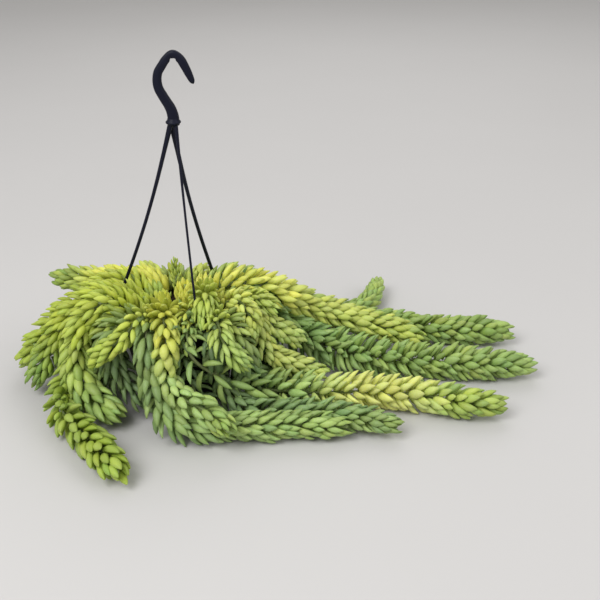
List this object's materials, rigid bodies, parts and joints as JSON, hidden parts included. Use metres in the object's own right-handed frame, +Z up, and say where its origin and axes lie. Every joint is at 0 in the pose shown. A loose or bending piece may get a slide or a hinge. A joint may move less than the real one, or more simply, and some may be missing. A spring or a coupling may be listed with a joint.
{
  "type": "potted trailing succulent",
  "caption": "Trailing burro's tail succulent, its stems wrapped in plump pointed leaves, growing in a round plastic pot with a clip-on hook hanger.",
  "frame": {"origin": "centre of the pot's base, on the surface it stands on", "axes": "+X along the longest tails, the picture's right; +Y away from the viewer; +Z up"},
  "size_m": [0.6189, 0.4464, 0.3875],
  "materials": {
    "pot_black": "satin",
    "hanger_black": "satin",
    "soil": "matte",
    "leaf_green": "satin",
    "leaf_yellow": "satin",
    "leaf_bright": "satin",
    "leaf_blue": "satin"
  },
  "bodies": {
    "root": {"pot": "pot_black", "hanger": "hanger_black", "soil": "soil", "braid_front": "leaf_yellow", "tail_right_high": "leaf_yellow", "tail_front": "leaf_green", "tail_right_front": "leaf_yellow", "tail_right_middle": "leaf_green", "tail_right_rear": "leaf_green", "tail_left_curled": "leaf_bright", "tail_left_front": "leaf_bright", "tail_left_low": "leaf_bright", "tail_left_long": "leaf_bright", "tail_left_rear_high": "leaf_yellow", "tail_left_under": "leaf_green", "braid_left_short": "leaf_bright", "rosette_front": "leaf_bright", "tail_yellow_droop": "leaf_yellow", "tail_green_droop": "leaf_bright", "sprig_edge": "leaf_yellow", "sprig_dark": "leaf_green", "tail_small_droop": "leaf_bright", "braid_right_upper": "leaf_yellow", "braid_right_lower": "leaf_yellow", "tail_right_short": "leaf_blue", "tail_rear_small": "leaf_green", "tail_back_right": "leaf_green", "tail_back_middle": "leaf_bright", "tail_back_left": "leaf_green", "tail_back_outer": "leaf_bright", "tail_shade_left": "leaf_blue", "tail_shade_low": "leaf_blue", "tail_shade_outer": "leaf_green", "tail_shade_front": "leaf_blue", "tail_shade_right": "leaf_blue", "tail_shade_back": "leaf_blue", "tail_shade_back_left": "leaf_blue", "tail_shade_side": "leaf_blue", "shoot_yellow": "leaf_yellow", "shoot_tall": "leaf_bright", "shoot_pale": "leaf_yellow", "shoot_left": "leaf_bright", "shoot_centre": "leaf_yellow", "shoot_front": "leaf_yellow", "shoot_left_front": "leaf_bright", "shoot_rear": "leaf_bright"}
  },
  "joints": []
}
